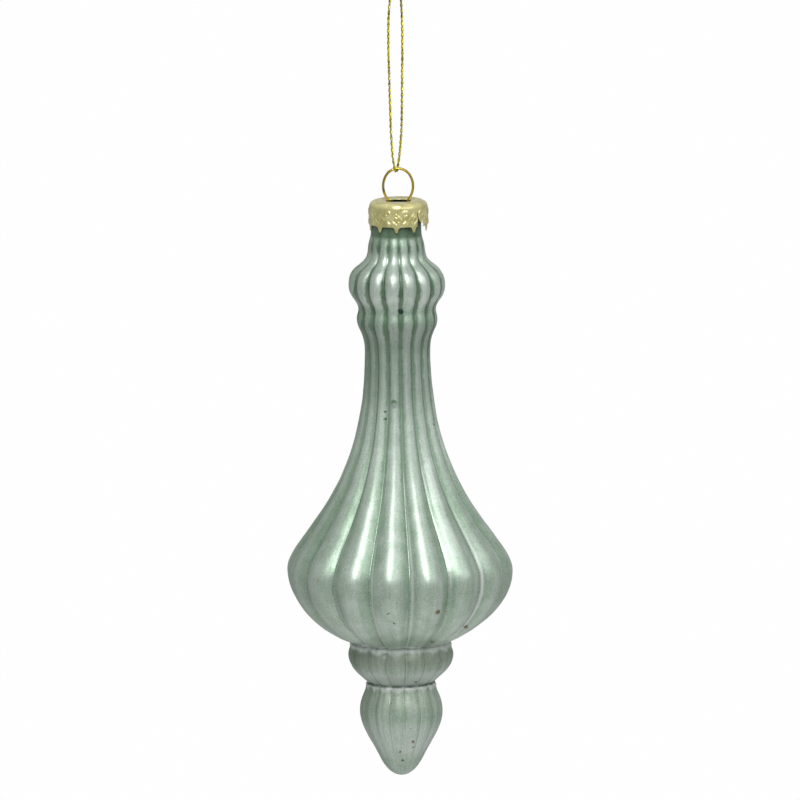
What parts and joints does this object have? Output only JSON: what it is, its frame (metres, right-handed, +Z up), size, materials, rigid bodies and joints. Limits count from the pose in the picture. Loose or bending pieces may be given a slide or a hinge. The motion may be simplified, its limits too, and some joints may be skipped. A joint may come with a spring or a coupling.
{
  "type": "finial ornament",
  "caption": "Fluted blown-glass finial ornament with a stamped metal cap, hung by a wire ring from a tied metallic thread loop.",
  "frame": {"origin": "hang point, at the top of the thread loop just under its knot", "axes": "+Z up along the hanging thread, +X to the right and -Y towards the viewer as the ornament faces them"},
  "size_m": [0.056, 0.056, 0.2084],
  "materials": {
    "satin_glass": "satin",
    "gold_sheet": "satin",
    "gold_wire": "polished",
    "metallic_thread": "metallic"
  },
  "bodies": {
    "thread": {"thread_loop": "metallic_thread", "thread_knot": "metallic_thread"},
    "hanger": {"hanger_wire": "gold_wire"},
    "cap": {"cap": "gold_sheet"},
    "glass": {"glass_body": "satin_glass"}
  },
  "joints": [
    {"name": "swing", "type": "hinge", "parent": "thread", "child": "hanger", "pos_m": [0, 0, -0.04904], "axis": [1, 0, 0], "range_deg": [-120, 120]},
    {"name": "rock", "type": "hinge", "parent": "hanger", "child": "cap", "pos_m": [0, 0, -0.05724], "axis": [1, 0, 0], "range_deg": [-5, 5]},
    {"name": "pull_off", "type": "slide", "parent": "cap", "child": "glass", "axis": [0, 0, -1], "range_m": [0, 0.02]}
  ]
}
